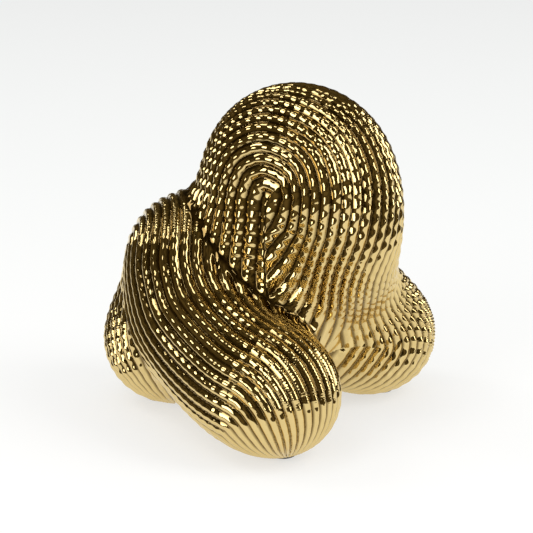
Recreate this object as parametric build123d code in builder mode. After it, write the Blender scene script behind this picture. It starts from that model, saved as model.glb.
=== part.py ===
"""Cast knot sculpture, about 237 mm high: two fat strands tied into one lump that stands on three feet.

Each strand is a row of hollow castings. A casting is the tapered tube between two balls of its strand, and it
meets the next one on a flat seam through the ball they share, with two dowels across the seam. Where strands
cross, one casting stays whole and the other is cut to seat on it. A core casting fills the middle of the
knot. Plugged core-pin holes, a plug in the core vent and three felt pads complete the assembly.
"""

from build123d import *
import math
import os

# Walls and seams, in millimetres
WALL = 6.0
SEAM_GAP = 0.1  # each casting stops this far short of a seam, and of a casting that it seats on

# Dowels and core pins
DOWEL_D = 3.0
DOWEL_LENGTH = 14.0
DOWEL_CHAMFER = 0.4
DOWEL_END_ROOM = 0.3  # left at each end of a dowel's hole
CORE_PIN_D = 4.0
CORE_PIN_LENGTH = 7.0
CORE_PIN_SINK = 0.3  # a pin's outer end lies this far under the skin
CORE_PIN_SPREAD = 22.0  # distance between a casting's two pins
PIN_TRIES = 72  # places tried round a casting for its pins
FIT = 0.02  # radial clearance of dowels, pins and plug

# Feet
PAD_D = 18.0
PAD_THICKNESS = 2.0
PAD_POCKET = 1.2  # depth of the pocket that holds a pad
PAD_EDGE = 0.15  # radial clearance round a pad
TOE_SINK = 0.45  # a toe's ball would reach this far under the ground before its flat is cut
FRONT_TOE_R = 42.0
LEFT_TOE_R = 40.5
RIGHT_TOE_R = 42.5

# Core vent in the underside
VENT_D = 14.0
PLUG_LENGTH = 5.0
PLUG_SINK = 0.6  # the plug's outer end lies this far inside the skin
PLUG_CHAMFER = 0.5
PLUG_SLOT_WIDTH = 1.6
PLUG_SLOT_DEPTH = 2.0
VENT_SPREAD = 3.0  # the vent is bored this many walls deep

# Balls that the strands run through: x, y and z of the centre, and the radius
BALLS = {
    "left_leg_end": (-9, 17, 108, 38),
    "left_bend": (-4, 19, 181, 40),
    "crown": (20, 8, 196.5, 40.5),
    "right_bend": (48, -12, 184, 40),
    "waist": (54, -6, 120, 38),
    "right_toe": (84, 41, RIGHT_TOE_R - TOE_SINK, RIGHT_TOE_R),
    "left_toe": (-78, 25, LEFT_TOE_R - TOE_SINK, LEFT_TOE_R),
    "left_heel": (-68, 48, 82, 36),
    "shoulder": (-57, 26, 114, 42.5),
    "elbow": (-53, 3, 70, 41),
    "front_bend": (-17, -62, 43, 42.5),
    "front_toe": (11, -78, FRONT_TOE_R - TOE_SINK, FRONT_TOE_R),
    "core_top": (24, 0, 162, 36),
    "core_foot": (4, 6, 52, 42),
}
# Castings, from one ball to the next. Each one is cut to seat on the castings above it in this list
# that belong to another strand.
CASTINGS = {
    "front_foot": ("front_bend", "front_toe"),
    "diagonal": ("elbow", "front_bend"),
    "shoulder_front": ("shoulder", "elbow"),
    "shoulder_back": ("left_heel", "shoulder"),
    "left_foot": ("left_toe", "left_heel"),
    "right_foot": ("waist", "right_toe"),
    "right_leg": ("right_bend", "waist"),
    "crown_right": ("crown", "right_bend"),
    "crown_left": ("left_bend", "crown"),
    "left_leg": ("left_leg_end", "left_bend"),
    "core": ("core_foot", "core_top"),
}
PADS = {"front_foot": "front_toe", "left_foot": "left_toe", "right_foot": "right_toe"}
VENT_CASTING, VENT_BALL = "core", "core_foot"


def shifted_balls():
    """The balls with the origin on the ground under the middle of their box: centre and radius by name."""
    sides = []
    for axis in (0, 1):
        low = min(ball[axis] - ball[3] for ball in BALLS.values())
        high = max(ball[axis] + ball[3] for ball in BALLS.values())
        sides.append((low + high) / 2)
    middle = Vector(sides[0], sides[1], 0)
    print("middle", middle)
    return {name: (Vector(*ball[:3]) - middle, ball[3]) for name, ball in BALLS.items()}


def tapered_tube(start, stop, grow):
    """A solid with the skin of a casting moved out by grow: two balls and the cone that touches both."""
    first, first_radius = start[0], start[1] + grow
    length = (stop[0] - first).length
    last_radius = stop[1] + grow
    along = (stop[0] - first).normalized()
    slope = math.asin((first_radius - last_radius) / length)
    touch = math.pi / 2 - slope  # direction, from the axis, of the points where the cone touches the balls
    first_middle, last_middle = (math.pi + touch) / 2, touch / 2

    def on_ball(offset, radius, angle):
        return (offset + radius * math.cos(angle), radius * math.sin(angle))

    with BuildPart() as tube:
        with BuildSketch(Plane(origin=first, x_dir=along, z_dir=across(along))):
            with BuildLine():
                tail = on_ball(0, first_radius, touch)
                ThreePointArc((-first_radius, 0), on_ball(0, first_radius, first_middle), tail)
                head = on_ball(length, last_radius, touch)
                Line(tail, head)
                ThreePointArc(head, on_ball(length, last_radius, last_middle), (length + last_radius, 0))
                Line((length + last_radius, 0), (-first_radius, 0))
            make_face()
        revolve(axis=Axis(first, along))
    return tube.part


def across(direction):
    """A level unit vector square to a direction, or along X if the direction is upright."""
    level = direction.cross(Vector(0, 0, 1))
    return level.normalized() if level.length > 1e-6 else Vector(1, 0, 0)


def clearance(point, name, others):
    """How far a point of a casting lies from its seams and from the full tubes of other castings."""
    room = []
    for before, after, seam in SEAMS.values():
        if name in (before, after):
            room.append((point - seam.origin).dot(seam.z_dir) * (1 if name == after else -1))
    for other in others:
        if set(CASTINGS[other]) & set(CASTINGS[name]):
            continue
        (start, first_radius), (stop, last_radius) = (PLACED[ball] for ball in CASTINGS[other])
        run = stop - start
        share = min(1, max(0, (point - start).dot(run) / run.dot(run)))
        radius = first_radius + share * (last_radius - first_radius)
        room.append((point - start - run * share).length - radius)
    return min(room)


def run_of(name):
    """Unit direction of a casting, from its first ball to its second."""
    start, stop = (PLACED[ball][0] for ball in CASTINGS[name])
    return (stop - start).normalized()


def shared_seams():
    """The flat seams, by ball: the casting that ends there, the one that starts there, and the seam's plane."""
    seams = {}
    for before, (_, end) in CASTINGS.items():
        for after, (begin, _) in CASTINGS.items():
            if begin == end:
                direction = (run_of(before) + run_of(after)).normalized()
                seams[end] = (before, after, Plane(origin=PLACED[end][0], z_dir=direction))
    return seams


def dowel_planes(ball):
    """Planes across the middle of a seam's two dowels, on both sides of the bend, in the middle of the wall."""
    before, after, seam = SEAMS[ball]
    aside = run_of(before).cross(run_of(after)).normalized() * (PLACED[ball][1] - WALL / 2)
    return [Plane(origin=seam.origin + offset, z_dir=seam.z_dir) for offset in (aside, -aside)]


def pin_planes(name):
    """Planes on the skin, facing out, at a casting's two core pins: round the side that shows most."""
    (start, first_radius), (stop, last_radius) = (PLACED[ball] for ball in CASTINGS[name])
    centre, radius = (start + stop) * 0.5, (first_radius + last_radius) / 2
    along = run_of(name)
    level = across(along)
    upright = along.cross(level)

    def outward(angle):
        return level * math.cos(angle) + upright * math.sin(angle)

    half = CORE_PIN_SPREAD / 2 / radius

    def shown(angle):
        spots = [centre + outward(angle + turn) * radius for turn in (-half, half)]
        return min(clearance(spot, name, CASTINGS) for spot in spots)

    best = max((2 * math.pi * step / PIN_TRIES for step in range(PIN_TRIES)), key=shown)
    print(name, "pins", round(shown(best), 1), "mm from seams and other castings")
    directions = [outward(best - half), outward(best + half)]
    return [Plane(origin=centre + direction * radius, z_dir=direction) for direction in directions]


def make_casting(name):
    start, stop = (PLACED[ball] for ball in CASTINGS[name])
    earlier = list(CASTINGS)[: list(CASTINGS).index(name)]
    with BuildPart() as casting:
        add(tapered_tube(start, stop, 0))
        if name == VENT_CASTING:
            with Locations(VENT_PLACE):
                Cylinder(VENT_D / 2, VENT_SPREAD * WALL, mode=Mode.SUBTRACT)
        for before, after, seam in SEAMS.values():
            if name in (before, after):
                inwards = seam.z_dir if name == after else -seam.z_dir
                split(bisect_by=Plane(origin=seam.origin + inwards * SEAM_GAP, z_dir=inwards), keep=Keep.TOP)
        for other in earlier:
            if not set(CASTINGS[other]) & set(CASTINGS[name]):
                add(TUBES[other], mode=Mode.SUBTRACT)
        if name in PADS:
            split(bisect_by=Plane.XY.offset(FOOT_FLAT), keep=Keep.TOP)
            with Locations(pad_centre(name) + Vector(0, 0, FOOT_FLAT)):
                Cylinder(PAD_D / 2 + PAD_EDGE, PAD_POCKET, align=STANDING, mode=Mode.SUBTRACT)
        add(tapered_tube(start, stop, -WALL), mode=Mode.SUBTRACT)
        for ball, (before, after, _) in SEAMS.items():
            if name in (before, after):
                with Locations(*dowel_planes(ball)):
                    Cylinder(DOWEL_D / 2 + FIT, DOWEL_LENGTH + 2 * DOWEL_END_ROOM, mode=Mode.SUBTRACT)
        if name in PINS:
            with Locations(*PINS[name]):
                Cylinder(CORE_PIN_D / 2 + FIT, 2 * WALL + CORE_PIN_LENGTH, mode=Mode.SUBTRACT)
    return casting.part


def make_dowels(ball):
    with BuildPart() as dowels:
        with Locations(*dowel_planes(ball)):
            Cylinder(DOWEL_D / 2, DOWEL_LENGTH)
        chamfer(dowels.edges().filter_by(GeomType.CIRCLE), DOWEL_CHAMFER)
    return dowels.part


def make_core_pins(name):
    with BuildPart() as pins:
        with Locations(*PINS[name]):
            with Locations((0, 0, -CORE_PIN_SINK)):
                Cylinder(CORE_PIN_D / 2, CORE_PIN_LENGTH, align=HANGING)
    return pins.part


def make_pad(name):
    with BuildPart() as pad:
        with Locations(pad_centre(name)):
            Cylinder(PAD_D / 2, PAD_THICKNESS, align=STANDING)
    return pad.part


def make_vent_plug():
    with BuildPart() as plug:
        with Locations(VENT_PLACE):
            with Locations((0, 0, PLUG_SINK)):
                Cylinder(VENT_D / 2 - FIT, PLUG_LENGTH, align=STANDING)
        chamfer(plug.edges().filter_by(GeomType.CIRCLE), PLUG_CHAMFER)
        with Locations(VENT_PLACE):
            with Locations((0, 0, PLUG_SINK)):
                Box(VENT_D, PLUG_SLOT_WIDTH, PLUG_SLOT_DEPTH, align=STANDING, mode=Mode.SUBTRACT)
    return plug.part


def pad_centre(name):
    toe = PLACED[PADS[name]][0]
    return Vector(toe.X, toe.Y, 0)


def save(part, name):
    part.label = name
    export_step(part, f"parts/{name}.step")


STANDING = (Align.CENTER, Align.CENTER, Align.MIN)
HANGING = (Align.CENTER, Align.CENTER, Align.MAX)
FOOT_FLAT = PAD_THICKNESS - PAD_POCKET
PLACED = shifted_balls()
SEAMS = shared_seams()
TUBES = {name: tapered_tube(*(PLACED[ball] for ball in ends), SEAM_GAP) for name, ends in CASTINGS.items()}
PINS = {name: pin_planes(name) for name in CASTINGS if name != VENT_CASTING}
VENT_FLOOR = PLACED[VENT_BALL][0] - Vector(0, 0, PLACED[VENT_BALL][1])
VENT_PLACE = Plane(origin=VENT_FLOOR, x_dir=across(run_of(VENT_CASTING)), z_dir=(0, 0, 1))

os.makedirs("parts", exist_ok=True)
for name in CASTINGS:
    save(make_casting(name), name)
for name in PINS:
    save(make_core_pins(name), name + "_core_pins")
for ball in SEAMS:
    save(make_dowels(ball), ball + "_dowels")
for name in PADS:
    save(make_pad(name), name + "_pad")
save(make_vent_plug(), "vent_plug")
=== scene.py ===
"""Looks of the cast knot sculpture: a ribbed, beaded gold skin over its castings, felt feet and a studio."""

import math

import bmesh
import bpy
import numpy as np
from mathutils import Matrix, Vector
from mathutils.bvhtree import BVHTree


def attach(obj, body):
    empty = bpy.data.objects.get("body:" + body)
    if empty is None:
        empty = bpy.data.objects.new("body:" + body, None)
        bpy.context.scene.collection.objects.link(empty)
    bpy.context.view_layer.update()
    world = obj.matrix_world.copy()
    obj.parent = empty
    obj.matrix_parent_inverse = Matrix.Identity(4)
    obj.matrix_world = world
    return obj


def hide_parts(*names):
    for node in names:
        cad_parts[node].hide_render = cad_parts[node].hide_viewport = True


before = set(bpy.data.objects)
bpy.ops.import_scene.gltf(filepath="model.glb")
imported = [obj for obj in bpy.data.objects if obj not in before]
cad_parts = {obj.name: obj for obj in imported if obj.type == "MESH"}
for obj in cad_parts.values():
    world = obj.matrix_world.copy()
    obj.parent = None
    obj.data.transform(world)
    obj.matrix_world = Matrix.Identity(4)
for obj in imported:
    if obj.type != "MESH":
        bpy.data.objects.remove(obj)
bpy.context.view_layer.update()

MM = 0.001  # the skin is worked out in millimetres

# Stations that each strand's skin runs through: x, y, z and radius
CROWN_STRAND = [
    (-13, 35, 105, 38), (-12, 39, 150, 40), (-7, 36, 183, 40), (15, 26, 198, 40.5),
    (41, 8, 189, 40), (50, 0, 155, 40), (49, 16, 113, 37), (57, 48, 86, 32),
    (70, 62, 60, 33), (82, 60, 41, 44.3), (44, 52, 43, 38),
]
COLLAR_STRAND = [
    (-44, 30, 42, 36), (-84, 43, 39.8, 41), (-75, 60, 66, 35), (-63, 64, 94, 37),
    (-61, 45, 115, 42), (-60, 25, 89, 42), (-48, 0, 65, 43), (-20, -43, 48, 43),
    (8, -63, 41.2, 42.5), (-4, -27, 44, 38),
]
CORE_STRAND = [(16, 16, 156, 31), (14, 20, 116, 36), (8, 26, 80, 40), (0, 24, 43.2, 42)]
SADDLE_STRAND = [(-46, 50, 120, 31), (-28, 46, 130, 32)]  # fills the crease between shoulder and crown
BALL_STEP = 4.0
BLEND = 7.5  # softness of the creases between strands
FOOT_FLAT = 0.25  # the skin is cut flat here, round the felt

# Lines that the ribs run along, inside the strands: x, y, z, turn of the ribs in degrees, height of the beads
CROWN_GUIDE = [
    (-22, 40, 40, 0, 0.45), (-22, 40, 105, 0, 0.45), (-19, 41, 146, 0, 0.45), (-17, 40, 172, 0, 0.4),
    (-7, 35, 193, 0, 0.22), (14, 24, 202, 0, 0.14), (37, 10, 193, 0, 0.24), (47, 3, 172, -4, 0.3),
    (48, 2, 148, -11, 0.26), (48, 10, 116, -28, 0.22), (59, 36, 87, -50, 0.3), (74, 51, 56, -58, 0.4),
    (66, 50, 34, -58, 0.25), (48, 50, 12, -58, 0.1), (28, 50, -10, -58, 0.1),
]
COLLAR_GUIDE = [
    (-62, 24, -14, 0, 0.1), (-76, 34, 18, 0, 0.2), (-84, 46, 42, 0, 0.3), (-75, 60, 66, 0, 0.3),
    (-65, 62, 94, 0, 0.25), (-61, 45, 115, 0, 0.12), (-60, 26, 92, 0, 0.14), (-49, 2, 68, 0, 0.14),
    (-22, -41, 51, 0, 0.14), (0, -61, 42, 0, 0.16), (8, -68, 26, 0, 0.12), (10, -70, 5, 0, 0.1),
    (10, -70, -20, 0, 0.1),
]
GUIDE_STEP = 1.0
CROWN_SIDE, COLLAR_SIDE = (1, 0, 0), (0, 1, 0)  # where rib 0 starts round each guide

# Ribs and the beads along them
RIBS = 34
RIB_HEIGHT = 2.2
RIB_MIDDLE = 0.65  # share of a rib's height that lies under the smooth skin
GROOVE_ROUND = 0.012
BEAD_LENGTH = 8.5
BEAD_DRIFT = 0.6  # how far the beads of a rib stray along it, in beads
STRAND_RADIUS = 40.0
WANDER = 0.1  # how far a rib strays sideways, in ribs
WANDER_LENGTH = 26.0
BRANCH_ROOM = 70.0  # two places of a guide that are further apart than this are two branches
BRANCH_FADE = 2.0
CREASE_FADE = 6.0
LEAST_RIB = 0.12  # share of the rib height that is left in a crease

# Mesh
CURVE_SHARES = 24  # points worked out between two stations of a line
BALL_ROUNDNESS = 3  # subdivisions of each ball that the even mesh starts from
VOXEL = 2.0
FIRST_SETTLE, LATER_SETTLE = 3, 2  # rounds that move points onto the skin
RELAX_ROUNDS = 4
LABEL_ROUNDS = 8
LEAST_SQUARE = 1e-6  # keeps square roots from vanishing at a ball's centre
LEAST_SLOPE = 0.05  # keeps a point from leaping where the field is flat
CHUNK = 12000
RIM_DEPTH = 6.0  # how far each piece's rim turns inwards, under the skin
PROBE = 0.2  # how far aside the slope of the ribs is read
AWRY = (0.3, -0.5, 0.8)  # keeps the probes' directions from vanishing

CASTINGS = [
    "front_foot", "diagonal", "shoulder_front", "shoulder_back", "left_foot", "right_foot", "right_leg",
    "crown_right", "crown_left", "left_leg", "core",
]


def smooth_line(stations, step):
    """Points about a step apart on a smooth curve through the stations, with their other values."""
    knots = np.array(stations, float)
    ends = np.vstack([2 * knots[0] - knots[1], knots, 2 * knots[-1] - knots[-2]])
    share = np.linspace(0, 1, CURVE_SHARES, endpoint=False)[:, None]
    runs = []
    for before, start, stop, after in zip(ends, ends[1:], ends[2:], ends[3:]):
        slope = stop - before
        bend = 2 * before - 5 * start + 4 * stop - after
        twist = 3 * start - before - 3 * stop + after
        runs.append(start + 0.5 * (slope * share + bend * share**2 + twist * share**3))
    line = np.vstack(runs + [knots[-1:]])
    lengths = np.linalg.norm(np.diff(line[:, :3], axis=0), axis=1)
    along = np.concatenate([[0], np.cumsum(lengths)])
    spots = np.linspace(0, along[-1], round(along[-1] / step) + 1)
    return np.stack([np.interp(spots, along, column) for column in line.T], 1)


def in_chunks(work, points):
    """The arrays that work gives for the points, worked out a chunk at a time."""
    parts = [work(points[start : start + CHUNK]) for start in range(0, len(points), CHUNK)]
    return [np.concatenate(column) for column in zip(*parts)]


def unit(vectors):
    """The vectors at a length of 1."""
    return vectors / np.linalg.norm(vectors, axis=1)[:, None]


def skin_field(points, balls):
    """About how far outside the soft union of the balls each point lies, and the outward gradient."""
    centres, radii = balls[:, :3], balls[:, 3]
    weights = np.log(BALL_STEP / np.sqrt(2 * math.pi * BLEND * radii))

    def work(some):
        squares = (some**2).sum(1)[:, None] + (centres**2).sum(1) - 2 * some @ centres.T
        lengths = np.sqrt(np.maximum(squares, LEAST_SQUARE))
        votes = (radii - lengths) / BLEND + weights
        top = votes.max(1, keepdims=True)
        shares = np.exp(votes - top)
        total = shares.sum(1, keepdims=True)
        pulls = shares / total / lengths
        gradient = some * pulls.sum(1, keepdims=True) - pulls @ centres
        return -BLEND * (top + np.log(total))[:, 0], gradient

    return in_chunks(work, points)


def settle(points, balls, rounds):
    """The points moved onto the skin."""
    for _ in range(rounds):
        field, gradient = skin_field(points, balls)
        points = points - gradient * (field / np.maximum((gradient**2).sum(1), LEAST_SLOPE))[:, None]
    return points


def mesh_arrays(mesh):
    """The points of a mesh of quads, and the corners of each quad."""
    points = np.empty(len(mesh.vertices) * 3)
    mesh.vertices.foreach_get("co", points)
    corners = np.empty(len(mesh.loops), int)
    mesh.loops.foreach_get("vertex_index", corners)
    return points.reshape(-1, 3), corners.reshape(-1, 4)


def remeshed(balls):
    """A mesh of quads of about one size round all the balls."""
    heap = bmesh.new()
    for x, y, z, radius in balls:
        added = bmesh.ops.create_icosphere(heap, subdivisions=BALL_ROUNDNESS, radius=radius)
        bmesh.ops.translate(heap, verts=added["verts"], vec=(x, y, z))
    mesh = bpy.data.meshes.new("heap")
    heap.to_mesh(mesh)
    heap.free()
    blank = bpy.data.objects.new("blank", mesh)
    bpy.context.scene.collection.objects.link(blank)
    remesh = blank.modifiers.new("even", "REMESH")
    remesh.mode = "VOXEL"
    remesh.voxel_size = VOXEL
    coarse = bpy.data.meshes.new_from_object(blank.evaluated_get(bpy.context.evaluated_depsgraph_get()))
    bpy.data.objects.remove(blank)
    return coarse


def even_skin(balls):
    """An even mesh of quads on the skin: points in millimetres, and the corners of each quad."""
    points, quads = mesh_arrays(remeshed(balls))
    edges = np.vstack([quads[:, [0, 1]], quads[:, [1, 2]], quads[:, [2, 3]], quads[:, [3, 0]]])
    points = settle(points, balls, FIRST_SETTLE)
    for _ in range(RELAX_ROUNDS):
        sums, counts = np.zeros_like(points), np.zeros(len(points))
        np.add.at(sums, edges[:, 0], points[edges[:, 1]])
        np.add.at(sums, edges[:, 1], points[edges[:, 0]])
        np.add.at(counts, edges.ravel(), 1)
        points = settle(sums / counts[:, None], balls, LATER_SETTLE)
    return points, quads


def subdivided(points, quads, labels):
    """The mesh with each quad cut in four, and the label of each new quad."""
    sides = np.sort(np.stack([quads, np.roll(quads, -1, 1)], 2).reshape(-1, 2), 1)
    edges, edge_of = np.unique(sides, axis=0, return_inverse=True)
    edge_of = edge_of.reshape(-1, 4) + len(points)
    middle = np.arange(len(quads)) + len(points) + len(edges)
    grown = np.vstack([points, points[edges].mean(1), points[quads].mean(1)])
    small = [np.stack([quads[:, k], edge_of[:, k], middle, edge_of[:, k - 1]], 1) for k in range(4)]
    return grown, np.vstack(small), np.tile(labels, 4)


def mesh_normals(points, quads):
    """Unit normals at the corners of the mesh."""
    faces = np.cross(points[quads[:, 2]] - points[quads[:, 0]], points[quads[:, 3]] - points[quads[:, 1]])
    normals = np.zeros_like(points)
    for corner in quads.T:
        np.add.at(normals, corner, faces)
    return unit(normals)


class Guide:
    """A line that ribs follow: its points, directions, and the length along each rib."""

    def __init__(self, stations, side):
        line = smooth_line(stations, GUIDE_STEP)
        self.points = line[:, :3]
        self.turn = np.radians(line[:, 3])
        self.bead = line[:, 4]
        self.step = np.linalg.norm(self.points[1] - self.points[0])
        self.along = unit(np.gradient(self.points, axis=0))
        sides, carried = [], np.array(side, float)
        for direction in self.along:
            carried = carried - (carried @ direction) * direction
            carried /= np.linalg.norm(carried)
            sides.append(carried)
        self.side = np.array(sides)
        self.other = np.cross(self.along, self.side)
        angles = 2 * math.pi * np.arange(RIBS)[:, None] / RIBS - self.turn
        outward = np.cos(angles)[..., None] * self.side + np.sin(angles)[..., None] * self.other
        steps = np.linalg.norm(np.diff(self.points + STRAND_RADIUS * outward, axis=1), axis=2)
        self.travel = np.hstack([np.zeros((RIBS, 1)), np.cumsum(steps, 1)])

    def nearest(self, points):
        """The nearest place on the guide for each point, and how much further off another branch is."""
        room = round(BRANCH_ROOM / self.step)
        places = np.arange(len(self.points))

        def work(some):
            squares = (some**2).sum(1)[:, None] + (self.points**2).sum(1) - 2 * some @ self.points.T
            nearest = squares.argmin(1)
            distance = np.sqrt(squares[np.arange(len(some)), nearest])
            squares[np.abs(places - nearest[:, None]) < room] = np.inf
            return nearest, np.sqrt(squares.min(1)) - distance

        return in_chunks(work, points)

    def ribs(self, points, nearest):
        """How many ribs round the guide each point lies, how far along its rib, and the beads' height."""
        places = np.arange(len(self.points))
        offset = points - self.points[nearest]
        slide = (offset * self.along[nearest]).sum(1) / self.step
        place = np.clip(nearest + slide, 0, len(places) - 1)
        angle = np.arctan2((offset * self.other[nearest]).sum(1), (offset * self.side[nearest]).sum(1))
        phase = (angle + np.interp(place, places, self.turn)) * RIBS / (2 * math.pi)
        rib = np.round(phase).astype(int) % RIBS
        low = np.minimum(place.astype(int), len(places) - 2)
        share = place - low
        travel = self.travel[rib, low] * (1 - share) + self.travel[rib, low + 1] * share
        return phase, travel, np.interp(place, places, self.bead)


def wander(points):
    """A slow, soft wave over the skin, from -1 to 1: three plain waves that run different ways."""
    x, y, z = (points / WANDER_LENGTH).T
    return (np.sin(x + 1.7 * z) + np.sin(1.3 * y - 0.8 * z + 2) + np.sin(1.1 * x - 1.6 * y + 4)) / 3


def eased(share):
    """The share from 0 to 1 with a soft start and end."""
    share = np.clip(share, 0, 1)
    return share * share * (3 - 2 * share)


class Relief:
    """The ribs and beads on the skin at some points."""

    def __init__(self, points, crown_balls, collar_balls):
        crown_field = skin_field(points, crown_balls)[0]
        collar_field = skin_field(points, collar_balls)[0]
        on_crown = crown_field < collar_field
        self.guides = [
            (Guide(CROWN_GUIDE, CROWN_SIDE), np.flatnonzero(on_crown)),
            (Guide(COLLAR_GUIDE, COLLAR_SIDE), np.flatnonzero(~on_crown)),
        ]
        self.nearest, spare = np.empty(len(points), int), np.empty(len(points))
        for guide, mine in self.guides:
            self.nearest[mine], spare[mine] = guide.nearest(points[mine])
        crease = eased(np.abs(crown_field - collar_field) / CREASE_FADE)
        self.share = LEAST_RIB + (1 - LEAST_RIB) * crease * eased(spare / BRANCH_FADE)

    def height(self, points):
        """How far the ribs and beads lift the skin, and how deep in a groove each point is, from 0 to 1."""
        phase, travel, bead_height = np.empty((3, len(points)))
        for guide, mine in self.guides:
            phase[mine], travel[mine], bead_height[mine] = guide.ribs(points[mine], self.nearest[mine])
        drift = wander(points)
        phase = phase + WANDER * drift
        arch = np.sqrt(np.cos(math.pi * (phase - np.round(phase))) ** 2 + GROOVE_ROUND)
        bead = np.cos(2 * math.pi * (travel / BEAD_LENGTH + BEAD_DRIFT * drift)) * arch
        lift = RIB_HEIGHT * (arch - RIB_MIDDLE) + bead_height * bead
        # the second value rises down in the grooves and where the ribs fade in a crease; it paints shade on
        # the gold
        return self.share * lift, 1 - arch * self.share

    def normals(self, points, outward):
        """Unit normals of the lifted skin."""
        first = unit(np.cross(outward, np.roll(outward, 1, axis=1) + AWRY))
        normals = outward.copy()
        for aside in (first, np.cross(outward, first)):
            rise = self.height(points + PROBE * aside)[0] - self.height(points - PROBE * aside)[0]
            normals -= aside * (rise / (2 * PROBE))[:, None]
        return unit(normals)


def casting_labels(points, quads):
    """The casting nearest to each quad, with stray quads given to their neighbours."""
    corners, faces, owners = [], [], []
    for index, name in enumerate(CASTINGS):
        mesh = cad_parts[name].data
        faces += [[corner + len(corners) for corner in face.vertices] for face in mesh.polygons]
        owners += [index] * len(mesh.polygons)
        corners += [vertex.co / MM for vertex in mesh.vertices]
    tree = BVHTree.FromPolygons(corners, faces)
    labels = np.array([owners[tree.find_nearest(Vector(centre))[2]] for centre in points[quads].mean(1)])
    for _ in range(LABEL_ROUNDS):
        votes = np.zeros((len(points), len(CASTINGS)))
        for corner in quads.T:
            np.add.at(votes, (corner, labels), 1)
        labels = votes[quads].sum(1).argmax(1)
    return labels


def close_rims(shell, inward):
    """Turn the open rims of a piece in under the skin and cap them; inward gives the way at each corner."""
    rims = [edge for edge in shell.edges if edge.is_boundary]
    added = bmesh.ops.extrude_edge_only(shell, edges=rims)["geom"]
    shell.verts.index_update()
    for vertex in [item for item in added if isinstance(item, bmesh.types.BMVert)]:
        source = min(edge.other_vert(vertex).index for edge in vertex.link_edges)
        vertex.co += Vector(inward[source]) * RIM_DEPTH * MM
    rims = [edge for edge in shell.edges if edge.is_boundary]
    caps = bmesh.ops.holes_fill(shell, edges=rims, sides=0)["faces"]
    bmesh.ops.poke(shell, faces=caps)


def skin_piece(name, points, quads, normals, grooves):
    """One casting's share of the skin as a closed mesh, with the shading of the whole skin."""
    used, local = np.unique(quads, return_inverse=True)
    mesh = bpy.data.meshes.new(name + "_skin")
    mesh.from_pydata((points[used] * MM).tolist(), [], local.reshape(-1, 4).tolist())
    shell = bmesh.new()
    shell.from_mesh(mesh)
    close_rims(shell, -normals[used])
    shell.to_mesh(mesh)
    shell.free()
    hidden = len(mesh.vertices) - len(used)
    # the groove depth carries the painted shade of the gold
    groove = mesh.attributes.new("groove", "FLOAT", "POINT")
    groove.data.foreach_set("value", np.concatenate([grooves[used], np.ones(hidden)]))
    mesh.shade_smooth()
    shading = np.vstack([normals[used], np.tile((0, 0, 1), (hidden, 1))])
    mesh.normals_split_custom_set_from_vertices(shading.tolist())
    piece = bpy.data.objects.new(name + "_skin", mesh)
    bpy.context.scene.collection.objects.link(piece)
    return piece


def node_tree(material):
    """The material's nodes and its main shader."""
    material.use_nodes = True
    tree = material.node_tree
    return tree, tree.nodes["Principled BSDF"]


def noise(tree, scale, detail):
    """A noise texture in object coordinates, with scale in features per metre."""
    place = tree.nodes.new("ShaderNodeTexCoord")
    texture = tree.nodes.new("ShaderNodeTexNoise")
    texture.inputs["Scale"].default_value = scale
    texture.inputs["Detail"].default_value = detail
    tree.links.new(place.outputs["Object"], texture.inputs["Vector"])
    return texture.outputs["Fac"]


def ramp(tree, value, stops):
    """A colour ramp of the value through stops of place and colour."""
    node = tree.nodes.new("ShaderNodeValToRGB")
    elements = node.color_ramp.elements
    while len(elements) < len(stops):
        elements.new(0.5)
    for element, (place, colour) in zip(elements, stops):
        element.position = place
        element.color = (*colour, 1)
    tree.links.new(value, node.inputs["Fac"])
    return node.outputs["Color"]


def grey(level):
    return (level, level, level)


def product(tree, first, second):
    """Two colours multiplied."""
    mix = tree.nodes.new("ShaderNodeMix")
    mix.data_type = "RGBA"
    mix.blend_type = "MULTIPLY"
    mix.inputs["Factor"].default_value = 1
    colours = [socket for socket in mix.inputs if socket.type == "RGBA"]
    tree.links.new(first, colours[0])
    tree.links.new(second, colours[1])
    return next(socket for socket in mix.outputs if socket.type == "RGBA")


def bump(tree, shader, value, strength, distance):
    """Fine relief in the shading, with distance in metres."""
    node = tree.nodes.new("ShaderNodeBump")
    node.inputs["Strength"].default_value = strength
    node.inputs["Distance"].default_value = distance
    tree.links.new(value, node.inputs["Height"])
    tree.links.new(node.outputs["Normal"], shader.inputs["Normal"])


def along_axis(tree, axis, low, high):
    """0 where the object's own coordinate is at low, 1 where it is at high, and even between."""
    place = tree.nodes.new("ShaderNodeTexCoord")
    split = tree.nodes.new("ShaderNodeSeparateXYZ")
    tree.links.new(place.outputs["Object"], split.inputs["Vector"])
    share = tree.nodes.new("ShaderNodeMapRange")
    share.inputs["From Min"].default_value = low
    share.inputs["From Max"].default_value = high
    tree.links.new(split.outputs[axis], share.inputs["Value"])
    return share.outputs["Result"]


# Finishes: colours, roughness from least to most, and noise in features per metre with its detail
# Painted shade: the second, darker gold is laid on down in the grooves and in the creases between strands,
# from the first depth to the second
GOLD, GOLD_SHADED_IN_GROOVE = (0.775, 0.595, 0.265), (0.22, 0.15, 0.055)
GROOVE_SHADE_START, GROOVE_SHADE_FULL = 0.35, 0.8
GOLD_PATCH, GOLD_PATCH_NOISE = (0.94, 0.93, 0.90), (40, 4)
GOLD_ROUGHNESS, GOLD_POLISH_NOISE = (0.02, 0.05), (90, 5)
STEEL, STEEL_ROUGHNESS = (0.62, 0.62, 0.64), 0.28
BRASS, BRASS_ROUGHNESS = (0.78, 0.58, 0.26), 0.2
METAL_SHADE, METAL_DULLING = 0.8, 1.6  # darkest tone and dullest spots of turned metal, against the rest
METAL_TONE_NOISE, METAL_MARK_NOISE, METAL_BUMP_NOISE = (300, 4), (700, 3), (900, 2)
METAL_BUMP = (0.1, 0.0002)  # strength and distance
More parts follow.
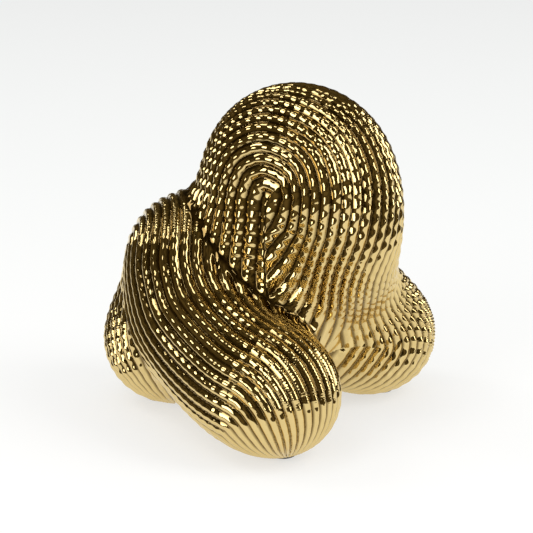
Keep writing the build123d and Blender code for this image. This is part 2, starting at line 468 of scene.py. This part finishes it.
FELT_DARK, FELT_PALE = (0.035, 0.03, 0.026), (0.10, 0.085, 0.072)
FELT_ROUGHNESS, FELT_NOISE = (0.85, 1), (2600, 6)
FELT_SHEEN = 0.4
FELT_BUMP = (0.5, 0.0004)
NOISE_LOW, NOISE_HIGH = 0.3, 0.7  # where a ramp of noise starts and ends
PATCH_LOW, PATCH_HIGH = 0.35, 0.65
WHITE, BLACK = (1, 1, 1), (0, 0, 0)


def speckled(tree, value, least, most):
    """The noise value as a colour between two others."""
    return ramp(tree, value, [(NOISE_LOW, least), (NOISE_HIGH, most)])


def gold_material():
    """Polished gold-coloured metal, with painted shade that darkens it down in the grooves and in the creases
    between strands.
    """
    material = bpy.data.materials.new("polished_gold")
    tree, shader = node_tree(material)
    groove = tree.nodes.new("ShaderNodeAttribute")
    groove.attribute_name = "groove"
    # painted shade: deep in a groove or crease the gold turns dark brown
    tone = ramp(tree, groove.outputs["Fac"], [(GROOVE_SHADE_START, GOLD), (GROOVE_SHADE_FULL, GOLD_SHADED_IN_GROOVE)])
    patch = ramp(tree, noise(tree, *GOLD_PATCH_NOISE), [(PATCH_LOW, GOLD_PATCH), (PATCH_HIGH, WHITE)])
    tree.links.new(product(tree, tone, patch), shader.inputs["Base Color"])
    smooth, dull = GOLD_ROUGHNESS
    polish = speckled(tree, noise(tree, *GOLD_POLISH_NOISE), grey(smooth), grey(dull))
    tree.links.new(polish, shader.inputs["Roughness"])
    shader.inputs["Metallic"].default_value = 1
    return material


def metal_material(name, colour, roughness):
    """Turned or ground metal with fine uneven marks."""
    material = bpy.data.materials.new(name)
    tree, shader = node_tree(material)
    darker = tuple(METAL_SHADE * channel for channel in colour)
    tone = speckled(tree, noise(tree, *METAL_TONE_NOISE), darker, colour)
    tree.links.new(tone, shader.inputs["Base Color"])
    marks = noise(tree, *METAL_MARK_NOISE)
    dulling = speckled(tree, marks, grey(roughness), grey(METAL_DULLING * roughness))
    tree.links.new(dulling, shader.inputs["Roughness"])
    shader.inputs["Metallic"].default_value = 1
    bump(tree, shader, noise(tree, *METAL_BUMP_NOISE), *METAL_BUMP)
    return material


def felt_material():
    """Dark felt with fine fibres."""
    material = bpy.data.materials.new("felt")
    tree, shader = node_tree(material)
    fibres = noise(tree, *FELT_NOISE)
    smooth, dull = FELT_ROUGHNESS
    tree.links.new(speckled(tree, fibres, FELT_DARK, FELT_PALE), shader.inputs["Base Color"])
    tree.links.new(speckled(tree, fibres, grey(smooth), grey(dull)), shader.inputs["Roughness"])
    shader.inputs["Sheen Weight"].default_value = FELT_SHEEN
    bump(tree, shader, fibres, *FELT_BUMP)
    return material


def dress(piece, material):
    """Give the piece this one material."""
    piece.data.materials.clear()
    piece.data.materials.append(material)


def lifted_skin():
    """The whole ribbed skin: points, quads and their castings, and the points' normals and groove depths."""
    crown_strands = (CROWN_STRAND, CORE_STRAND, SADDLE_STRAND)
    crown_balls = np.vstack([smooth_line(strand, BALL_STEP) for strand in crown_strands])
    collar_balls = smooth_line(COLLAR_STRAND, BALL_STEP)
    balls = np.vstack([crown_balls, collar_balls])
    points, quads = even_skin(balls)
    labels = casting_labels(points, quads)
    points, quads, labels = subdivided(points, quads, labels)
    points = settle(points, balls, LATER_SETTLE)
    outward = unit(skin_field(points, balls)[1])
    relief = Relief(points, crown_balls, collar_balls)
    height, grooves = relief.height(points)
    normals = relief.normals(points, outward)
    points = points + outward * height[:, None]
    flat = mesh_normals(points, quads)
    normals = unit(flat + (normals - flat) * relief.share[:, None])
    standing = points[:, 2] <= FOOT_FLAT
    points[standing, 2] = FOOT_FLAT
    normals[standing] = (0, 0, -1)
    return points, quads, labels, normals, grooves


def make_skin():
    """The ribbed skin, cut into one piece for each casting that it stands for."""
    points, quads, labels, normals, grooves = lifted_skin()
    gold = gold_material()
    for index, name in enumerate(CASTINGS):
        piece = skin_piece(name, points, quads[labels == index], normals, grooves)
        dress(piece, gold)
        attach(piece, "root")
        if name == "core":
            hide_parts(name)
        else:
            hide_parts(name, name + "_core_pins")


def dress_hardware():
    """Materials of the nodes that keep their shape: felt pads, dowels and the vent plug."""
    felt = felt_material()
    steel = metal_material("ground_steel", STEEL, STEEL_ROUGHNESS)
    plug = metal_material("turned_brass", BRASS, BRASS_ROUGHNESS)
    for name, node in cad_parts.items():
        if name.endswith("_pad"):
            dress(node, felt)
        elif name.endswith("_dowels"):
            dress(node, steel)
        elif name == "vent_plug":
            dress(node, plug)


# Camera: it looks along +Y and down at the sculpture
CAMERA_TARGET = Vector((-4, 18, 108)) * MM
CAMERA_DISTANCE = 1.3
CAMERA_DOWN = math.radians(18)
IMAGE_SIDE = 533
MM_PER_PIXEL = 0.7  # at the target
SENSOR = 36.0


def make_camera():
    """The camera at the photograph's viewing angle."""
    data = bpy.data.cameras.new("camera")
    data.sensor_width = SENSOR
    data.lens = SENSOR * CAMERA_DISTANCE / (IMAGE_SIDE * MM_PER_PIXEL * MM)
    camera = bpy.data.objects.new("camera", data)
    away = Vector((0, -math.cos(CAMERA_DOWN), math.sin(CAMERA_DOWN)))
    camera.location = CAMERA_TARGET + away * CAMERA_DISTANCE
    camera.rotation_euler = (-away).to_track_quat("-Z", "Y").to_euler()
    bpy.context.scene.collection.objects.link(camera)
    bpy.context.scene.camera = camera


# Studio: a white sweep, a dim brown room round it that only reflections show, and soft lamps
FLOOR_RADIUS = 9.0
FLOOR_SIDES = 96
FLOOR_NEAR, FLOOR_FAR = -0.2, 2.4  # painted shade: the floor greys from here to here along Y
FLOOR_SHADE_TONES = [(0, (1, 1, 0.99)), (0.35, (0.95, 0.96, 0.95)), (1, (0.90, 0.905, 0.90))]
FLOOR_GLOW = 0.6  # share of the floor's light that is its own where it is looked at
# Corners of what reflections see of the sweep
SWEEP = [
    (-0.32, 0.1), (-0.05, -0.30), (0.30, -0.40), (0.90, -0.20), (1.50, 3.0), (-1.50, 3.0), (-1.2, 0.6),
]
ROOM_RADIUS = 4.0
ROOM_SIDES, ROOM_RINGS = 48, 24
ROOM_LIFT = 0.002  # the room's dim floor lies this far above the sweep
ROOM_BELOW = -1e-4  # what lies lower than this is cut off the dome
BACKDROP_START, BACKDROP_HEIGHT = 1.2, 1.9
BACKDROP = (0.85, 0.86, 0.85)
# Painted reflection: the room is no lamp but glows dim brown, a little darker upwards and in patches
ROOM_LOW = (0.12, 0.09, 0.042)
ROOM_HIGH = (0.10, 0.075, 0.034)
ROOM_HIGH_FROM = 0.6  # share of the room's height where the upper tone is reached
ROOM_PATCH_NOISE = (0.9, 2)
ROOM_PATCHES = [(0.4, grey(0.25)), (0.6, grey(1))]
LAMP_DISTANCE = 2.2
# Lamps: azimuth from the camera's side and elevation, in degrees, then width, height and radiance
LAMPS = [
    (-45, 15, 1.1, 1.4, 3.5),
    (76, 35, 0.9, 2.2, 3.5),
    (-108, 47, 0.65, 0.6, 3.5),
    (-55, 66, 0.5, 0.9, 2.6),
]
WORLD_WHITE = 0.95
WORLD_FILL = 0.65  # light from the surroundings on the floor and the felt


def seen_directly(tree):
    """1 for rays from the camera and for those that a shiny or clear surface sends on, 0 for the rest."""
    path = tree.nodes.new("ShaderNodeLightPath")
    total = path.outputs["Is Camera Ray"]
    for name in ("Is Glossy Ray", "Is Transmission Ray"):
        more = tree.nodes.new("ShaderNodeMath")
        more.operation = "MAXIMUM"
        tree.links.new(total, more.inputs[0])
        tree.links.new(path.outputs[name], more.inputs[1])
        total = more.outputs["Value"]
    return total


def floor_material():
    """White paper with painted shade that greys it towards the back: part of its light is its own where it is
    looked at, and the rest keeps the shadow.
    """
    material = bpy.data.materials.new("white_sweep")
    tree, shader = node_tree(material)
    # painted shade: the paper's colour darkens from the near edge to the back
    tone = ramp(tree, along_axis(tree, "Y", FLOOR_NEAR, FLOOR_FAR), FLOOR_SHADE_TONES)
    glow = tree.nodes.new("ShaderNodeEmission")
    tree.links.new(tone, glow.inputs["Color"])
    shader.inputs["Roughness"].default_value = 1
    shader.inputs["Specular IOR Level"].default_value = 0
    tree.links.new(tone, shader.inputs["Base Color"])
    part = tree.nodes.new("ShaderNodeMath")
    part.operation = "MULTIPLY"
    part.inputs[1].default_value = FLOOR_GLOW
    tree.links.new(seen_directly(tree), part.inputs[0])
    mix = tree.nodes.new("ShaderNodeMixShader")
    tree.links.new(part.outputs["Value"], mix.inputs["Fac"])
    tree.links.new(shader.outputs["BSDF"], mix.inputs[1])
    tree.links.new(glow.outputs["Emission"], mix.inputs[2])
    tree.links.new(mix.outputs["Shader"], tree.nodes["Material Output"].inputs["Surface"])
    return material


def make_floor():
    """The white sweep under the sculpture."""
    mesh = bpy.data.meshes.new("floor")
    disc = bmesh.new()
    bmesh.ops.create_circle(disc, cap_ends=True, segments=FLOOR_SIDES, radius=FLOOR_RADIUS)
    disc.to_mesh(mesh)
    disc.free()
    floor = bpy.data.objects.new("floor", mesh)
    bpy.context.scene.collection.objects.link(floor)
    dress(floor, floor_material())


def room_mesh():
    """A dome with the sweep's tall back, and the floor of the room outside the sweep's edges."""
    mesh = bpy.data.meshes.new("room")
    dome = bmesh.new()
    bmesh.ops.create_uvsphere(dome, u_segments=ROOM_SIDES, v_segments=ROOM_RINGS, radius=ROOM_RADIUS)
    low = [vertex for vertex in dome.verts if vertex.co.z < ROOM_BELOW]
    bmesh.ops.delete(dome, geom=low, context="VERTS")
    far_off = [Vector((x, y, 0)).normalized() * 2 * ROOM_RADIUS for x, y in SWEEP]
    near = [dome.verts.new((x, y, ROOM_LIFT)) for x, y in SWEEP]
    far = [dome.verts.new((x, y, ROOM_LIFT)) for x, y, _ in far_off]
    for side in range(len(SWEEP)):
        dome.faces.new((near[side - 1], near[side], far[side], far[side - 1]))
    for face in dome.faces:
        middle = face.calc_center_median()
        upright = ROOM_LIFT < middle.z < BACKDROP_HEIGHT
        face.material_index = int(middle.y > BACKDROP_START and upright)
    dome.to_mesh(mesh)
    dome.free()
    return mesh


def glowing_material(name):
    """A material that only glows: its nodes and shader, with the colour of the glow still to set."""
    material = bpy.data.materials.new(name)
    tree, shader = node_tree(material)
    shader.inputs["Base Color"].default_value = (*BLACK, 1)
    shader.inputs["Specular IOR Level"].default_value = 0
    shader.inputs["Emission Strength"].default_value = 1
    return material, tree, shader


def make_room():
    """A dim room with a white backdrop that shows only in reflections; the room's dim brown glow, though it
    is no lamp, is a painted reflection.
    """
    room = bpy.data.objects.new("room", room_mesh())
    bpy.context.scene.collection.objects.link(room)
    dim, tree, shader = glowing_material("dim_room")
    # painted reflection: the room's glow darkens upwards and in patches
    tone = ramp(tree, along_axis(tree, "Z", 0, ROOM_RADIUS), [(0, ROOM_LOW), (ROOM_HIGH_FROM, ROOM_HIGH)])
    patch = ramp(tree, noise(tree, *ROOM_PATCH_NOISE), ROOM_PATCHES)
    tree.links.new(product(tree, tone, patch), shader.inputs["Emission Color"])
    dress(room, dim)
    white, _, shader = glowing_material("white_backdrop")
    shader.inputs["Emission Color"].default_value = (*BACKDROP, 1)
    room.data.materials.append(white)
    room.visible_camera = False
    room.visible_diffuse = False
    room.visible_shadow = False
    room.visible_transmission = False


def make_lamps():
    """Soft lamps round the sculpture, all turned towards it."""
    for number, (azimuth, elevation, width, height, radiance) in enumerate(LAMPS):
        turn, rise = math.radians(azimuth), math.radians(elevation)
        level = math.cos(rise)
        toward = Vector((math.sin(turn) * level, -math.cos(turn) * level, math.sin(rise)))
        data = bpy.data.lights.new(f"lamp_{number}", "AREA")
        data.shape = "RECTANGLE"
        data.size, data.size_y = width, height
        data.energy = radiance * math.pi * width * height
        lamp = bpy.data.objects.new(f"lamp_{number}", data)
        lamp.location = CAMERA_TARGET + toward * LAMP_DISTANCE
        lamp.rotation_euler = (-toward).to_track_quat("-Z", "Y").to_euler()
        bpy.context.scene.collection.objects.link(lamp)


def make_world():
    """White surroundings, which cast less light than they show where they are looked at."""
    world = bpy.data.worlds.new("studio")
    world.use_nodes = True
    tree = world.node_tree
    back = tree.nodes["Background"]
    back.inputs["Color"].default_value = (*WHITE, 1)
    level = tree.nodes.new("ShaderNodeMapRange")
    level.inputs["To Min"].default_value = WORLD_FILL
    level.inputs["To Max"].default_value = WORLD_WHITE
    tree.links.new(seen_directly(tree), level.inputs["Value"])
    tree.links.new(level.outputs["Result"], back.inputs["Strength"])
    bpy.context.scene.world = world


make_skin()
dress_hardware()
make_camera()
make_floor()
make_room()
make_lamps()
make_world()
bpy.context.scene.view_settings.view_transform = "Standard"
